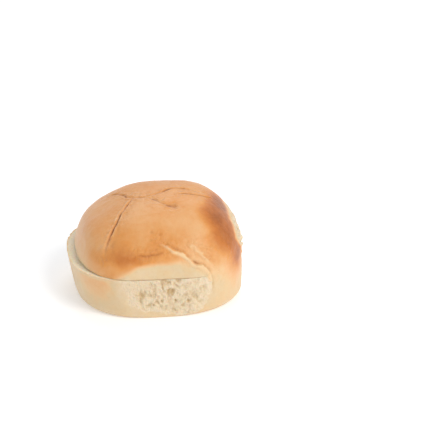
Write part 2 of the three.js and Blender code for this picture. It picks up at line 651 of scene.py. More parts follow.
# Settings that many nodes share
SMOOTH = {"interpolation_type": "SMOOTHSTEP"}
LESS = {"operation": "SUBTRACT"}
TIMES_PLUS = {"operation": "MULTIPLY_ADD"}
COLOURS = {"data_type": "RGBA"}
NUMBERS = {"data_type": "FLOAT"}
VECTORS = {"data_type": "VECTOR"}


def per_metre(size: float) -> float:
    """Gives a texture's scale from the size in mm of what it draws."""
    return 1 / (size * MM)


class FinishTree:
    """A material's node tree under construction."""

    def __init__(self, name: str) -> None:
        """Starts a material with an empty tree.

        Args:
            name: the material's name.
        """
        self.material = bpy.data.materials.new(name)
        self.material.use_nodes = True
        self.tree = self.material.node_tree
        self.tree.nodes.clear()
        self.place = self.add("TexCoord", "Object", {}, {})

    def add(
        self,
        kind: str,
        output: str | int | None,
        settings: dict[str, object],
        sockets: dict[str | int, object],
    ) -> Socket | None:
        """Adds a node, with its settings and what goes into its sockets.

        Args:
            kind: the node's type name, without the word ShaderNode.
            output: the name or number of the output to give.
            settings: the node's own settings by name, with a ramp's shares and colours as stops.
            sockets: for each input, by name or number, its value or the output that feeds it.

        Returns:
            The output.
        """
        node = self.tree.nodes.new(f"ShaderNode{kind}")
        stops = settings.get("stops", ())
        for name in settings.keys() - {"stops"}:
            setattr(node, name, settings[name])
        for _ in stops[2:]:
            node.color_ramp.elements.new(1.0)
        for index, (share, colour) in enumerate(stops):
            node.color_ramp.elements[index].position = share
            node.color_ramp.elements[index].color = hex_colour(colour)
        for name, value in sockets.items():
            if isinstance(value, Socket):
                self.tree.links.new(value, node.inputs[name])
            else:
                node.inputs[name].default_value = value
        return None if output is None else node.outputs[output]

    def finish(self, sockets: dict[str, object]) -> bpy.types.Material:
        """Ends the tree in a Principled shader.

        Args:
            sockets: the values and outputs that go into the shader.

        Returns:
            The material.
        """
        shader = self.add("BsdfPrincipled", "BSDF", {"subsurface_method": "RANDOM_WALK"}, sockets)
        self.add("OutputMaterial", None, {}, {"Surface": shader})
        return self.material


@dataclass(frozen=True)
class CrustFinish:
    """Egg-washed bread crust over soft white crumb.

    The crust is a thin satin skin: cream where it was covered, straw to chestnut where the oven
    reached it, with painted shadow on its right shoulder. Torn crumb is matt, near white on its shreds
    and straw-coloured in its hollows, where that colour is painted shade.
    Sizes and depths are in mm.
    """

    name: str = "egg_washed_bread_crust"
    bake_stops: tuple[tuple[float, str], ...] = (
        (0.0, "#e4cfae"),
        (0.1, "#e3c89d"),
        (0.2, "#ebc594"),
        (0.4, "#ebb47b"),
        (0.58, "#e39a50"),
        (0.76, "#cb782e"),
        # The two darkest stops are reached mainly on the right shoulder, where the colour is partly painted
        # shadow
        (0.88, "#ad601f"),
        (1.0, "#8a4912"),
    )
    # Torn crumb from its lit shreds to the painted shade of its hollows
    crumb_stops: tuple[tuple[float, str], ...] = ((0.05, "#f0e0c6"), (0.45, "#e8d4b3"), (0.95, "#c8a97c"))
    # The fold colour is painted shade in folds and dimples and also tints the pores; the lip colour is
    # painted highlight on lips and the peel and also the flour
    fold_shade_and_pore_colour: str = "#9e5826"
    lip_highlight_and_flour_colour: str = "#f2cf9f"
    speckle_colour: str = "#cf9455"
    sheen_colour: str = "#ffe9e2"
    satin: float = 0.42
    pale_roughness: float = 0.6
    grain_roughness: float = 0.15
    crumb_roughness: float = 0.9
    tear_softness: float = 0.12
    film: float = 0.4  # how much of the crumb's colour a film of skin hides at the tear's edge
    film_width: float = 2.2
    mottle_size: float = 13.0
    mottle: float = 0.30
    grain_size: float = 2.4
    grain: float = 0.14
    grain_depth: float = 0.16
    pore_size: float = 1.5
    pore_tint: float = 0.10
    flour_size: float = 6.0
    flour: float = 0.08
    speckle_size: float = 1.3
    speckle: float = 0.12
    pit_size: float = 0.8
    pit_depth: float = 0.025
    wrinkle_size: float = 1.1
    wrinkle_depth: float = 0.10
    crinkle_size: float = 1.9
    crinkle_depth: float = 0.9
    crumb_cell: float = 0.9  # the finest cells, of 0.3 mm, would not show
    cell_depth: float = 0.22
    fluff: float = 0.75
    fluff_depth: float = 0.4
    crust_glow: float = 0.10
    crumb_glow: float = 0.30
    glow_depth: float = 1.5

    def make(self) -> bpy.types.Material:
        """Builds the material, which reads bake, tear, hollow, fold_tone and crinkle from the mesh: bake
        carries some painted shadow and highlight, hollow is painted shade in the torn crumb, and fold_tone
        is painted shade in folds and dimples with painted highlight on lips and the peel.

        Returns:
            The material.
        """
        tree = FinishTree(self.name)
        add = tree.add
        bake = add("Attribute", "Fac", {"attribute_name": "bake"}, {})
        tear = add("Attribute", "Fac", {"attribute_name": "tear"}, {})
        hollow = add("Attribute", "Fac", {"attribute_name": "hollow"}, {})
        fold_tone = add("Attribute", "Fac", {"attribute_name": "fold_tone"}, {})
        edge = {"Value": tear, "From Min": -self.tear_softness, "From Max": self.tear_softness}
        torn = add("MapRange", 0, SMOOTH, edge)
        spots = {"Vector": tree.place, "Scale": per_metre(self.grain_size), "Detail": 4.0}
        grain = add("TexNoise", "Fac", {}, spots)
        spots = {"Vector": tree.place, "Scale": per_metre(self.mottle_size), "Detail": 3.0}
        mottle = add("Math", 0, LESS, {0: add("TexNoise", "Fac", {}, spots), 1: 0.5})
        browning_and_painted_light = add("Math", 0, TIMES_PLUS, {0: mottle, 1: self.mottle, 2: bake})
        mottle = add("Math", 0, LESS, {0: grain, 1: 0.5})
        browning_and_painted_light = add("Math", 0, TIMES_PLUS, {0: mottle, 1: self.grain, 2: browning_and_painted_light})
        skin = self.skin_colour(tree, browning_and_painted_light, fold_tone)
        spots = {"Vector": tree.place, "Scale": per_metre(self.crumb_cell), "Detail": 5.0}
        fluff = add("TexNoise", "Fac", {}, spots | {"Distortion": 0.6})
        # Random fluff and the painted shade of the hollows pick the crumb's colour
        shade = add("Math", 0, LESS, {0: fluff, 1: 0.45})
        shade = add("Math", 0, TIMES_PLUS, {0: shade, 1: self.fluff, 2: hollow})
        crumb = add("ValToRGB", "Color", {"stops": self.crumb_stops}, {"Fac": shade})
        gloss = {"From Min": 0.1, "From Max": 0.5, "To Min": self.pale_roughness, "To Max": self.satin}
        satin = add("MapRange", 0, SMOOTH, {"Value": browning_and_painted_light} | gloss)
        uneven = add("Math", 0, LESS, {0: grain, 1: 0.5})
        satin = add("Math", 0, TIMES_PLUS, {0: uneven, 1: self.grain_roughness, 2: satin})
        skin_relief = self.skin_relief(tree, grain)
        crumb_relief = self.crumb_relief(tree, fluff)
        relief = add("Mix", 1, VECTORS, {0: torn, 4: skin_relief, 5: crumb_relief})
        film = add("MapRange", 0, SMOOTH, {"Value": tear, "From Max": self.film_width, "To Max": self.film})
        bared = add("Math", 0, TIMES_PLUS, {0: torn, 1: 1 - self.film, 2: film})
        return tree.finish(
            {
                "Base Color": add("Mix", 2, COLOURS, {0: bared, 6: skin, 7: crumb}),
                "Roughness": add("Mix", 0, NUMBERS, {0: torn, 2: satin, 3: self.crumb_roughness}),
                "Subsurface Weight": add(
                    "Mix", 0, NUMBERS, {0: torn, 2: self.crust_glow, 3: self.crumb_glow}
                ),
                "Subsurface Radius": (1.0, 0.55, 0.3),
                "Subsurface Scale": self.glow_depth * MM,
                "IOR": 1.45,
                "Sheen Weight": 0.32,
                "Sheen Roughness": 0.45,
                "Sheen Tint": hex_colour(self.sheen_colour),
                "Normal": relief,
            }
        )

    def skin_colour(self, tree: FinishTree, browning_and_painted_light: Socket, fold_tone: Socket) -> Socket:
        """Colours the crust.

        Args:
            tree: the material's tree.
            browning_and_painted_light: how far the oven browned it, with painted shadow and highlight in a
                few places.
            fold_tone: painted shade above 0 in folds, painted highlight below 0 on their lips.

        Returns:
            The colour, with painted shade in its folds and painted highlight on their lips, pores, flour
            and speckles.
        """
        add = tree.add
        fold_shade_and_pore_colour, lip_highlight_and_flour_colour = hex_colour(self.fold_shade_and_pore_colour), hex_colour(self.lip_highlight_and_flour_colour)
        skin = add("ValToRGB", "Color", {"stops": self.bake_stops}, {"Fac": browning_and_painted_light})
        # Painted shade in the folds, then painted highlight on their lips
        share = add("MapRange", 0, SMOOTH, {"Value": fold_tone})
        skin = add("Mix", 2, COLOURS, {0: share, 6: skin, 7: fold_shade_and_pore_colour})
        share = add("MapRange", 0, SMOOTH, {"Value": fold_tone, "From Max": -0.7})
        skin = add("Mix", 2, COLOURS, {0: share, 6: skin, 7: lip_highlight_and_flour_colour})
        # Darker pores of the crust, in the colour also used for the fold shade
        spots = {"Vector": tree.place, "Scale": per_metre(self.pore_size)}
        pores = add("TexVoronoi", "Distance", {"feature": "F1"}, spots)
        span = {"From Max": 0.22, "To Min": self.pore_tint, "To Max": 0.0}
        share = add("MapRange", 0, SMOOTH, {"Value": pores} | span)
        skin = add("Mix", 2, COLOURS, {0: share, 6: skin, 7: fold_shade_and_pore_colour})
        spots = {"Vector": tree.place, "Scale": per_metre(self.flour_size), "Detail": 5.0}
        flour = add("TexNoise", "Fac", {}, spots)
        span = {"From Min": 0.48, "From Max": 0.72, "To Max": self.flour}
        share = add("MapRange", 0, SMOOTH, {"Value": flour} | span)
        skin = add("Mix", 2, COLOURS, {0: share, 6: skin, 7: lip_highlight_and_flour_colour})
        spots = {"Vector": tree.place, "Scale": per_metre(self.speckle_size), "Detail": 3.0}
        speckles = add("TexNoise", "Fac", {}, spots)
        span = {"From Min": 0.50, "From Max": 0.80, "To Max": self.speckle}
        share = add("MapRange", 0, SMOOTH, {"Value": speckles} | span)
        return add("Mix", 2, COLOURS, {0: share, 6: skin, 7: hex_colour(self.speckle_colour)})

    def skin_relief(self, tree: FinishTree, grain: Socket) -> Socket:
        """Roughens the crust.

        Args:
            tree: the material's tree.
            grain: the crust's cloudy grain.

        Returns:
            The relief of its pits, wrinkles and grain, and of the crinkles beside folds.
        """
        add = tree.add
        spots = {"Vector": tree.place, "Scale": per_metre(self.pit_size)}
        pits = add("TexVoronoi", "Distance", {"feature": "F1"}, spots)
        pits = add("MapRange", 0, SMOOTH, {"Value": pits, "From Min": 0.1, "From Max": 0.45})
        relief = add("Bump", "Normal", {}, {"Height": pits, "Distance": self.pit_depth * MM})
        spots = {"Vector": tree.place, "Scale": per_metre(self.wrinkle_size), "Detail": 4.0}
        wrinkles = add("TexNoise", "Fac", {}, spots | {"Distortion": 1.2})
        for height, depth in ((wrinkles, self.wrinkle_depth), (grain, self.grain_depth)):
            relief = add("Bump", "Normal", {}, {"Height": height, "Distance": depth * MM, "Normal": relief})
        crinkle = add("Attribute", "Fac", {"attribute_name": "crinkle"}, {})
        spots = {"Vector": tree.place, "Scale": per_metre(self.crinkle_size), "Detail": 2.0}
        height = add("Mix", 0, NUMBERS, {0: crinkle, 2: 0.5, 3: add("TexNoise", "Fac", {}, spots)})
        crinkles = {"Height": height, "Distance": self.crinkle_depth * MM, "Normal": relief}
        return add("Bump", "Normal", {}, crinkles)

    def crumb_relief(self, tree: FinishTree, fluff: Socket) -> Socket:
        """Roughens the torn crumb.

        Args:
            tree: the material's tree.
            fluff: the crumb's cloudy fluff.

        Returns:
            The relief of its cells and its fluff.
        """
        spots = {"Vector": tree.place, "Scale": per_metre(self.crumb_cell)}
        cells = tree.add("TexVoronoi", "Distance", {"feature": "F1"}, spots)
        relief = tree.add("Bump", "Normal", {}, {"Height": cells, "Distance": self.cell_depth * MM})
        fluffs = {"Height": fluff, "Distance": self.fluff_depth * MM, "Normal": relief}
        return tree.add("Bump", "Normal", {}, fluffs)


@dataclass(frozen=True)
class CutCrumbFinish:
    """Knife-cut white crumb: a fine, even sponge of small open cells, cream and quite matt, with painted
    shade in each cell.

    Sizes and depths are in mm.
    """

    name: str = "knife_cut_white_crumb"
    stops: tuple[tuple[float, str], ...] = ((0.1, "#ecd6ae"), (0.5, "#f5e3c2"), (0.9, "#f9ecd2"))
    rind: str = "#ecc796"
    cell: float = 1.1
    fine_cell: float = 0.5
    fine_share: float = 0.35
    cell_depth: float = 0.12
    cloud_size: float = 5.0
    cloud: float = 0.4
    roughness: float = 0.9
    glow: float = 0.30
    glow_depth: float = 1.5

    def make(self) -> bpy.types.Material:
        """Builds the material, which reads rind from the mesh.

        Returns:
            The material.
        """
        tree = FinishTree(self.name)
        add = tree.add
        layers = []
        for size in (self.cell, self.fine_cell):
            spots = {"Vector": tree.place, "Scale": per_metre(size)}
            cells = add("TexVoronoi", "Distance", {"feature": "F1"}, spots)
            layers.append(add("MapRange", 0, SMOOTH, {"Value": cells, "From Min": 0.05, "From Max": 0.5}))
        crumb = add("Mix", 0, NUMBERS, {0: self.fine_share, 2: layers[0], 3: layers[1]})
        spots = {"Vector": tree.place, "Scale": per_metre(self.cloud_size), "Detail": 3.0}
        clouds = add("Math", 0, LESS, {0: add("TexNoise", "Fac", {}, spots), 1: 0.5})
        clouds = add("Math", 0, TIMES_PLUS, {0: clouds, 1: self.cloud, 2: crumb})
        # The colour darkens towards each cell's middle: painted shade in the open cells
        colour = add("ValToRGB", "Color", {"stops": self.stops}, {"Fac": clouds})
        rind = add("Attribute", "Fac", {"attribute_name": "rind"}, {})
        share = add("MapRange", 0, SMOOTH, {"Value": rind, "From Min": 0.35, "From Max": 0.9})
        colour = add("Mix", 2, COLOURS, {0: share, 6: colour, 7: hex_colour(self.rind)})
        return tree.finish(
            {
                "Base Color": colour,
                "Roughness": self.roughness,
                "Subsurface Weight": self.glow,
                "Subsurface Radius": (1.0, 0.6, 0.35),
                "Subsurface Scale": self.glow_depth * MM,
                "IOR": 1.4,
                "Normal": add("Bump", "Normal", {}, {"Height": crumb, "Distance": self.cell_depth * MM}),
            }
        )


@dataclass(frozen=True)
class LightTableFinish:
    """Opal acrylic of a light table: matt white, lit softly from below, with the faintest cloud in it."""

    name: str = "lit_opal_acrylic"
    stops: tuple[tuple[float, str], ...] = ((0.3, "#f7f9fc"), (0.7, "#f4f6f9"))
    light: str = "#f7f9fc"
    cloud_size: float = 300.0  # mm
    roughness: float = 0.8
    glow: float = 0.26

    def make(self) -> bpy.types.Material:
        """Builds the material.

        Returns:
            The material.
        """
        tree = FinishTree(self.name)
        spots = {"Vector": tree.place, "Scale": per_metre(self.cloud_size)}
        clouds = tree.add("TexNoise", "Fac", {}, spots)
        return tree.finish(
            {
                "Base Color": tree.add("ValToRGB", "Color", {"stops": self.stops}, {"Fac": clouds}),
                "Roughness": self.roughness,
                "Emission Color": hex_colour(self.light),
                "Emission Strength": self.glow,
            }
        )


# ---------------------------------------------------------------- the roll


@dataclass(frozen=True)
class Knife:
    """The cut for filling: nearly level, from the left, stopping short of the right side.

    Lengths are in mm.
    """

    hinge_width: float = 18.0
    gap_at_hinge: float = 0.18
    gap_at_mouth: float = 1.5
    mouth_starts: float = -26.0
    waves: Layer = Layer(11.0, 0.16, 3.0)
    reach: float = 4.0  # how far the blade passes beyond the roll
    columns: int = 56
    rows: int = 96
    crowding: float = 1.6  # above 1, the columns stand closer together at the mouth

    def hinge_x(self, form: RollForm) -> float:
        """Gives where the cut stops, in mm right of the middle."""
        return form.width / 2 - self.hinge_width

    def floor_at(self, form: RollForm, flat: Array) -> Array:
        """Gives the height in mm of the cut's lower face, at places seen from above."""
        return form.slice_height + self.waves.at(np.column_stack([flat, np.zeros(len(flat))]))

    def gap_at(self, form: RollForm, x: Array) -> Array:
        """Gives the thickness of the cut at a place across the roll."""
        open_share = smooth_step(-self.mouth_starts, form.width / 2, -x)
        return self.gap_at_hinge + (self.gap_at_mouth - self.gap_at_hinge) * open_share

    def distance(self, form: RollForm, points: Array) -> Array:
        """Gives how far points are above or below the open cut, in mm."""
        below = self.floor_at(form, points[:, :2]) - points[:, 2]
        return np.maximum(np.maximum(below, -below - self.gap_at(form, points[:, 0])), 0)

    def is_above(self, form: RollForm, points: Array) -> Array:
        """Tells which points lie above the cut, on the crown's side."""
        middle = self.floor_at(form, points[:, :2]) + self.gap_at(form, points[:, 0]) / 2
        return points[:, 2] > middle

    def blade(self, form: RollForm) -> bpy.types.Object:
        """Models the thin wedge of bread that the cut opens.

        Args:
            form: the roll that is cut.

        Returns:
            The closed blade.
        """
        left = -form.width / 2 - self.reach
        right = self.hinge_x(form)
        bpy.ops.object.select_all(action="DESELECT")
        bpy.ops.mesh.primitive_grid_add(x_subdivisions=self.columns, y_subdivisions=self.rows, size=1)
        blade = bpy.context.object
        blade.name = "knife_blade"
        thickness = blade.modifiers.new("thickness", "SOLIDIFY")
        thickness.thickness = 1.0
        thickness.offset = 1.0
        bpy.ops.object.modifier_apply(modifier=thickness.name)
        units = places(blade.data) * MM
        upper = units[:, 2] > 0.5
        x = left + (right - left) * (units[:, 0] + 0.5) ** self.crowding
        y = units[:, 1] * (form.depth + 2 * self.reach)
        z = self.floor_at(form, np.column_stack([x, y])) + np.where(upper, self.gap_at(form, x), 0)
        put_places(blade.data, np.column_stack([x, y, z]))
        edit_all(bpy.ops.mesh.normals_make_consistent, inside=False)
        return blade


@dataclass(frozen=True)
class CrumbForm:
    """One kind of form in torn crumb: its size and its relief in mm, and how much painted shade it gives
    the hollows.
    """

    size: float
    relief: float
    shade: float
    stretch: float  # how much taller than wide it is
    warp: float  # mm that it is bent

    def spots(self, points: Array, warp: Array) -> Array:
        """Gives points in mm as they are before the form is bent and stretched."""
        return points / np.array([1, 1, self.stretch]) + self.warp * warp


@dataclass(frozen=True)
class TornCrumb:
    """How torn crumb stands: lumps, upright sheets and fibres, and the pores between them.

    Lengths are in mm.
    """

    lump_size: float = 7.0
    lump_height: float = 0.5
    lump_shade: float = 0.15
    webs: CrumbForm = CrumbForm(size=2.9, relief=0.4, shade=0.3, stretch=1.6, warp=0.8)
    web_sharpness: float = 3.2
    web_level: float = 0.3
    fibres: CrumbForm = CrumbForm(size=0.9, relief=0.22, shade=0.2, stretch=3.0, warp=0.5)
    pores: CrumbForm = CrumbForm(size=2.3, relief=0.48, shade=0.3, stretch=1.4, warp=0.5)
    pore_width: float = 0.34  # share of their size
    pore_floor: float = 0.3  # share of their width
    warp_size: float = 3.0
    mean_shade: float = 0.4
    roughness: float = 0.85  # share of the fine relief, with rougher and calmer areas
    roughness_swing: Layer = Layer(9.0, 0.35, 33.0)
    roughness_limits: tuple[float, float] = (0.4, 1.2)
    edge_layers: tuple[Layer, ...] = (Layer(4.5, 1.8, 17.0), Layer(1.3, 0.6, 29.0))
    edge: tuple[float, float] = (-0.1, 2.5)  # inside the outline, where relief starts and is full
    skin_lip: float = 0.2  # how far the skin curls up just outside the edge
    lip_place: float = -0.6
    lip_width: float = 0.5
    base_margin: float = 4.0  # keeps tears off the underside

    def relief(self, points: Array, inside: Array) -> tuple[Array, Array]:
        """Works out the torn surface.

        Args:
            points: places in mm.
            inside: their distance inside the ragged outline.

        Returns:
            The move outwards in mm, and the painted shade that darkens the crumb's hollows, from 0 to 1.
        """
        webs, fibres, pores = self.webs, self.fibres, self.pores
        warp = stray(points, self.warp_size, (1.0, 7.0, 13.0))
        web = 1 - self.web_sharpness * np.abs(lumps(webs.spots(points, warp), webs.size, 2, 2.0))
        web -= self.web_level
        fibre = lumps(fibres.spots(points, warp), fibres.size, 2, 8.0)
        lump = lumps(points, self.lump_size, 3, 2.0)
        middle = cell_middles(pores.spots(points, warp), pores.size, 4.0)
        pore = 1 - smooth_step(self.pore_floor * self.pore_width, self.pore_width, middle)
        roughness = np.clip(self.roughness + self.roughness_swing.at(points), *self.roughness_limits)
        roughness *= 1 - sum(area.at(points) for area in CALM)
        fine = webs.relief * web + fibres.relief * fibre - pores.relief * pore
        move = self.lump_height * lump + roughness * fine
        lip = self.skin_lip * hump(inside, self.lip_place, self.lip_width)
        # Painted shade: darker in the pores, lighter on the webs, fibres and lumps
        fine_shade = pores.shade * pore - webs.shade * web - fibres.shade * fibre
        shade = self.mean_shade - self.lump_shade * lump + roughness * fine_shade
        torn = smooth_step(*self.edge, inside)
        return torn * move + lip, torn * np.clip(shade, 0, 1)


@dataclass(frozen=True)
class BrowningAndPaintedLight:
    """How far the oven browned the roll, from 0 for pale to 1 for dark brown, with painted shadow and
    highlight in a few places.

    Lengths are in mm. Each pair gives where something starts and where it is full.
    """

    heel: float = 0.09
    dome: float = 0.43  # what the dome has more than the heel
    dome_heights: tuple[float, float] = (15.0, 34.0)
    drift: float = 3.0  # how far the edges of browned areas stray
    drift_size: float = 14.0
    covered: float = 0.07  # on skin that a neighbour covered
    cover_softness: float = 1.6
    cover_edge: Layer = Layer(6.0, 0.8, 14.0)
    pale_rim: float = 1.2  # width of the pale skin beside the cut
    rim_paleness: float = 0.85
    heel_rim: tuple[float, float] = (-12.0, 0.0)  # left of the roll's middle, as is the next
    crown_rim: tuple[float, float] = (24.0, 32.0)
    sole: float = 0.34
    sole_edge: float = 0.16
    sole_edge_distances: tuple[float, float] = (16.0, 34.0)
    sole_mottle: Layer = Layer(9.0, 0.1, 81.0, octaves=3)
    sole_height: float = 0.15

    def at(self, form: RollForm, knife: Knife, points: Array) -> Array:
        """Works out how far each point is browned, with the painted shadow and highlight.

        Args:
            form: the roll.
            knife: the cut, beside which the skin stayed pale.
            points: places in mm.

        Returns:
            How far each point is browned, with its painted light, from 0 to 1.
        """
        height = points[:, 2]
        bake = self.heel + self.dome * smooth_step(*self.dome_heights, height)
        drifted = points + self.drift * stray(points, self.drift_size, (51.0, 53.0, 57.0))
        for blush in BLUSHES:
            bake += blush.at(drifted)
        covered = deepest_inside(PALE_PATCHES, points) + self.cover_edge.at(points)
        covered = smooth_step(-self.cover_softness, self.cover_softness, covered)
        bake = bake * (1 - covered) + self.covered * covered
        rim = hump(knife.distance(form, points), 0, self.pale_rim)
        on_heel = ~knife.is_above(form, points)
        left = -points[:, 0]
        rim_share = np.where(on_heel, smooth_step(*self.heel_rim, left), smooth_step(*self.crown_rim, left))
        bake *= 1 - self.rim_paleness * rim * rim_share
        under = 1 - smooth_step(0.0, self.sole_height, height)
        from_middle = np.hypot(points[:, 0], points[:, 1])
        sole = self.sole + self.sole_edge * smooth_step(*self.sole_edge_distances, from_middle)
        sole += self.sole_mottle.at(points)
        return np.clip(bake * (1 - under) + sole * under, 0, 1)


@dataclass
class Surface:
    """The sliced roll's surface while it is shaped, with one row or one number for each vertex.

    Lengths are in mm. Each pair gives where something starts or ends and where it is full or gone.
    """

    rest: Array  # places before any relief
    out: Array  # the way that the skin faces
    inside: Array  # distance inside the torn crumb's ragged outline
    torn_edge: tuple[float, float] = (-0.1, 0.7)
    heel_top: tuple[float, float] = (14.0, 20.0)
    crinkle_reach: float = 4.0  # around each crease the skin is finely wrinkled
    dimple_painted_shade: float = 0.8
    tatter_mean: float = 0.3
    tatter_swing: Layer = Layer(1.7, 1.6, 71.0)
    tatter_most: float = 1.2
    tatter_edge: tuple[float, float] = (-1.5, 0.5)
    peel_shine: float = 0.5  # how far the peel lightens the hollows

    def __post_init__(self) -> None:
        """Starts with no relief."""
        self.torn = smooth_step(*self.torn_edge, self.inside)  # 1 on bare crumb
        self.feather = 1 + sum(area.at(self.rest) for area in FEATHERED)  # above 1 where it tore thinly
        self.move, self.ragged = np.zeros((2, len(self.rest)))  # out, of the skin and of torn crumb
        # Painted light of folds, dimples and the peel; fine crinkles; painted shade of the crumb's hollows
        self.tone, self.crinkle, self.hollow = np.zeros((3, len(self.rest)))

    def swell(self) -> None:
        """Adds the gentle lumps of risen dough."""
        self.move += sum(swell.at(self.rest) for swell in SWELLS)
        on_heel = 1 - smooth_step(*self.heel_top, self.rest[:, 2])
        self.move += on_heel * sum(swell.at(self.rest) for swell in HEEL_SWELLS)

    def fold(self) -> None:
        """Folds the skin along the creases, with fine wrinkles beside them, painted shade in the folds and
        painted highlight on their lips.
        """
        for crease in CREASES + PUCKERS:
            fold, fold_tone = crease.press(self.rest, self.out)
            self.move += fold * (1 - self.torn)
            self.tone += fold_tone
            beside = hump(crease.distance(self.rest), 0, self.crinkle_reach)
            self.crinkle = np.maximum(self.crinkle, beside)
        for zone in CRINKLED:
            self.crinkle = np.maximum(self.crinkle, zone.at(self.rest))

    def dent(self) -> None:
        """Adds the dimples with their painted shade, and what the neighbours pressed in or left room for.
        """
        for dimple in DIMPLES:
            self.move -= dimple.at(self.rest)
            self.tone += self.dimple_painted_shade * dimple.at(self.rest)
        for press in PRESSES:
            self.move -= press.at(self.rest)

    def tear(self, crumb: TornCrumb) -> None:
        """Adds the torn crumb, with its tatters and the skin that peels off beside it, and the painted
        highlight along the peel.

        Args:
            crumb: how the torn crumb stands.
        """
        self.ragged, self.hollow = crumb.relief(self.rest, self.inside / np.sqrt(self.feather))
        tatter = np.clip(self.tatter_mean + self.tatter_swing.at(self.rest), 0, self.tatter_most)
        tatter = tatter * sum(area.at(self.rest) for area in TATTERS)
        self.ragged += tatter * smooth_step(*self.tatter_edge, self.inside)
        # The peel curls the edge out and paints a highlight along it, on the skin and in the crumb's
        # hollows
        curl, peel_highlight = PEEL.press(self.rest, self.out)
        self.move += curl
        self.tone += peel_highlight
        self.hollow = np.clip(self.hollow + self.peel_shine * peel_highlight, 0, 1)


@dataclass
class BreadRoll:
    """The roll itself, in one piece: heel, crown and the hinge of bread between them."""

    form: RollForm
    knife: Knife
    torn_crumb: TornCrumb
    browning_and_painted_light: BrowningAndPaintedLight
    crown_inset_left: float = 3.6  # mm that the crown lies back from the heel's rim
    squares: int = 80  # along each edge of the cube that the roll is drawn out of
    torn_margin: float = 2.2  # mm of finer mesh around the torn crumb
    fold_margin: float = 2.4  # mm of finer mesh around each crease
    rind_depth: float = 0.9  # mm below the skin that its brown reaches, where the knife bared it
    tear_heights: tuple[float, float] = (0.05, 0.6)  # mm up, where tears may start and may be full
    tear_gap: float = 0.2  # mm of skin between the crown's tears and the cut
    relief_heights: tuple[float, float] = (0.2, 3.4)  # mm up, where relief starts and is full
    cut_edge_angle: float = 50.0  # degrees

    def build(self) -> bpy.types.Object:
        """Models the roll.

        Returns:
            The roll's object.
        """
        roll = self.draw_out_form()
        self.refine_marked_areas(roll)
        self.smooth_places = places(roll.data)
        self.smooth_out = directions_out(roll.data)
        for finish in (CrustFinish(), CutCrumbFinish()):
            roll.data.materials.append(finish.make())
        self.slice_open(roll)
        self.shape_surface(roll)
        self.soften_shading(roll)
        return roll

    def draw_out_form(self) -> bpy.types.Object:
        """Draws a finely divided cube out to the roll's smooth shape.

        Returns:
            The smooth roll.
        """
        bpy.ops.object.select_all(action="DESELECT")
        bpy.ops.mesh.primitive_cube_add(size=2)
        roll = bpy.context.object
        roll.name = roll.data.name = "roll"
        edit_all(bpy.ops.mesh.subdivide, number_cuts=self.squares - 1)
        evened = np.tan(places(roll.data) * MM * math.pi / 4)
        put_places(roll.data, self.form.place(evened / np.linalg.norm(evened, axis=1)[:, None]))
        return roll

    def refine_marked_areas(self, roll: bpy.types.Object) -> None:
        """Halves the squares where crumb is torn or crust is folded, so that they can carry the relief.

        Args:
            roll: the smooth roll.
        """
        points = self.set_back_crown(places(roll.data))
        fine = deepest_inside(TORN_PATCHES, points) > -self.torn_margin
        for crease in CREASES:
            fine |= crease.distance(points) < self.fold_margin
        bpy.ops.object.mode_set(mode="EDIT")
        bpy.ops.mesh.select_mode(type="FACE")
        bpy.ops.mesh.select_all(action="DESELECT")
        bpy.ops.object.mode_set(mode="OBJECT")
        for face in roll.data.polygons:
            face.select = all(fine[index] for index in face.vertices)
        bpy.ops.object.mode_set(mode="EDIT")
        bpy.ops.mesh.subdivide(number_cuts=1)
        bpy.ops.object.mode_set(mode="OBJECT")

    def set_back_crown(self, points: Array) -> Array:
        """Draws the crown's left half in from the heel's rim.

        Args:
            points: places in mm.

        Returns:
            The places, moved where they are on the crown and left of the middle.
        """
        moved = points.copy()
        crown = self.knife.is_above(self.form, points) & (points[:, 0] < 0)
        moved[crown, 0] *= 1 - self.crown_inset_left / (self.form.width / 2)
        return moved

    def slice_open(self, roll: bpy.types.Object) -> None:
        """Cuts the roll with the knife's blade, whose faces bring the second material with them.

        Args:
            roll: the smooth roll.
        """
        blade = self.knife.blade(self.form)
        for material in roll.data.materials:
            blade.data.materials.append(material)
        blade.data.polygons.foreach_set("material_index", [1] * len(blade.data.polygons))
        select_only(roll)
        cut = roll.modifiers.new("knife cut", "BOOLEAN")
        cut.operation, cut.solver, cut.object = "DIFFERENCE", "EXACT", blade
        bpy.ops.object.modifier_apply(modifier=cut.name)
        bpy.data.objects.remove(blade)

    def tear_edge(self, rest: Array) -> Array:
        """Draws the torn crumb's ragged outline, clear of the base and of the crown's cut edge.

        Args:
            rest: places in mm.

        Returns:
            Their distance in mm inside the outline.
        """
        knife, form = self.knife, self.form
        edge = sum(layer.at(rest) for layer in self.torn_crumb.edge_layers)
        inside = deepest_inside(TORN_PATCHES, rest) + edge
        inside -= self.torn_crumb.base_margin * (1 - smooth_step(*self.tear_heights, rest[:, 2]))
        on_sliced_crown = knife.is_above(form, rest) & (rest[:, 0] < knife.hinge_x(form))
        clear_of_cut = -knife.distance(form, rest) - self.tear_gap
        return np.where(on_sliced_crown, np.minimum(inside, clear_of_cut), inside)

    def shape_surface(self, roll: bpy.types.Object) -> None:
        """Gives the smooth sliced roll its relief, how brown it is and its painted light, and sets back its
        crown.

        Args:
            roll: the sliced roll.
        """
        sliced = places(roll.data)
        out, on_skin = self.skin(roll, sliced)
        rest = self.set_back_crown(sliced)
        surface = Surface(rest, out, self.tear_edge(rest))
        surface.swell()
        surface.fold()
        surface.dent()
        surface.tear(self.torn_crumb)
        clear_of_base = smooth_step(*self.relief_heights, rest[:, 2])
        move = (surface.move + surface.ragged) * clear_of_base * on_skin
        moved = rest + out * move[:, None]
        moved[:, 2] = np.maximum(moved[:, 2], 0)
        put_places(roll.data, moved)
        # Browning, with painted shadow and highlight where the blushes carry them
        put_values(roll.data, "bake", self.browning_and_painted_light.at(self.form, self.knife, rest))
        put_values(roll.data, "tear", np.clip(surface.inside, -3, 3) / surface.feather)
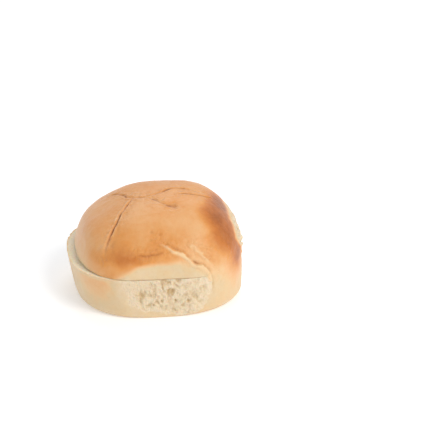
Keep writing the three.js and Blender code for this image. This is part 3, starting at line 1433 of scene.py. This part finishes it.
        # The painted shade of the torn crumb's hollows
        put_values(roll.data, "hollow", surface.hollow)
        # Painted shade and highlight of folds, dimples and the peel, kept off the bare crumb
        put_values(roll.data, "fold_tone", np.clip(surface.tone, -1, 1) * (1 - surface.torn))
        put_values(roll.data, "crinkle", surface.crinkle)

    def skin(self, roll: bpy.types.Object, rest: Array) -> tuple[Array, Array]:
        """Finds the way out of the skin at each vertex, and which vertices are on the skin.

        Args:
            roll: the sliced roll.
            rest: its vertices in mm.

        Returns:
            The directions out, and 1 on the skin or 0 inside the cut.
        """
        tree = KDTree(len(self.smooth_places))
        for index, place in enumerate(self.smooth_places):
            tree.insert(place, index)
        tree.balance()
        found = [tree.find(place) for place in rest]
        nearest = [index for _, index, _ in found]
        put_values(roll.data, "rind", np.exp(-np.array([away for _, _, away in found]) / self.rind_depth))
        on_skin = np.zeros(len(rest))
        for face in roll.data.polygons:
            if face.material_index == 0:
                on_skin[list(face.vertices)] = 1
        return self.smooth_out[nearest], on_skin

    def soften_shading(self, roll: bpy.types.Object) -> None:
        """Shades the roll smooth, with sharp edges only around the knife cut."""
        select_only(roll)
        bpy.ops.object.shade_smooth_by_angle(angle=math.radians(self.cut_edge_angle))


# ---------------------------------------------------------------- the studio


@dataclass(frozen=True)
class SoftLight:
    """A softbox: its place and size in metres, what it is for, and its power in watts."""

    name: str
    place: tuple[float, float, float]
    size: float
    power: float
    colour: str = "#ffffff"

    def put(self, target: Vector) -> None:
        """Adds the light, turned to the target.

        Args:
            target: the place that it lights.
        """
        data = bpy.data.lights.new(self.name, "AREA")
        data.shape, data.size, data.energy = "DISK", self.size, self.power
        data.color = hex_colour(self.colour)[:3]
        light = bpy.data.objects.new(self.name, data)
        light.location = self.place
        light.rotation_euler = (target - light.location).to_track_quat("-Z", "Y").to_euler()
        bpy.context.scene.collection.objects.link(light)


@dataclass(frozen=True)
class Studio:
    """The light table, the lights and the camera."""

    azimuth: float = -4.0  # degrees from straight in front, towards the roll's left
    elevation: float = 25.0  # degrees above the table
    distance: float = 0.8  # metres from the middle of the base
    view_width: float = 0.2  # metres across the view, at that distance
    aim_right: float = 0.0317  # metres right of the middle of the base
    aim_up: float = 0.0258
    floor_size: float = 8.0
    sky_strength: float = 0.5
    lights: tuple[SoftLight, ...] = (
        SoftLight("key_softbox", (0.75, -0.75, 1.0), 0.8, 9.9, "#fffaf3"),
        SoftLight("fill_softbox", (-0.8, -0.5, 1.0), 0.9, 1.1),
        SoftLight("back_softbox", (0.1, 1.0, 1.1), 1.0, 5.0),
    )

    def build(self) -> None:
        """Puts up the floor, the light and the camera."""
        bpy.context.scene.view_settings.view_transform = "Standard"
        self.lay_floor()
        self.light_scene()
        self.set_camera()

    def lay_floor(self) -> None:
        """Lays the light table, level with the roll's base."""
        bpy.ops.object.select_all(action="DESELECT")
        bpy.ops.mesh.primitive_plane_add(size=self.floor_size)
        floor = bpy.context.object
        floor.name = "light_table"
        floor.data.materials.append(LightTableFinish().make())

    def light_scene(self) -> None:
        """Adds the even white surroundings and the softboxes."""
        world = bpy.data.worlds.new("white_studio")
        world.use_nodes = True
        sky = world.node_tree.nodes["Background"]
        sky.inputs["Color"].default_value = hex_colour("#ffffff")
        sky.inputs["Strength"].default_value = self.sky_strength
        bpy.context.scene.world = world
        for light in self.lights:
            light.put(Vector((0, 0, 0.02)))

    def set_camera(self) -> None:
        """Sets the camera, aimed a little right of and above the roll."""
        turn, rise = math.radians(self.azimuth), math.radians(self.elevation)
        back = Vector((math.sin(turn) * math.cos(rise), -math.cos(turn) * math.cos(rise), math.sin(rise)))
        right = Vector((math.cos(turn), math.sin(turn), 0))
        aim = right * self.aim_right + back.cross(right) * self.aim_up
        data = bpy.data.cameras.new("camera")
        data.lens = data.sensor_width * self.distance / self.view_width
        camera = bpy.data.objects.new("camera", data)
        camera.location = back * self.distance
        camera.rotation_euler = (aim - camera.location).to_track_quat("-Z", "Y").to_euler()
        bpy.context.scene.collection.objects.link(camera)
        bpy.context.scene.camera = camera


def main() -> None:
    """Builds the studio and the roll, and hands the roll to the frame."""
    logging.basicConfig(level=logging.INFO, format="%(name)s: %(message)s")
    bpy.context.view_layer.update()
    Studio().build()
    roll = BreadRoll(RollForm.from_frame(), Knife(), TornCrumb(), BrowningAndPaintedLight()).build()
    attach(roll, BODY)
    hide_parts(NODE)
    triangles = sum(len(face.vertices) - 2 for face in roll.data.polygons)
    LOG.info("%s: %d triangles", roll.name, triangles)


if __name__ == "__main__":
    main()
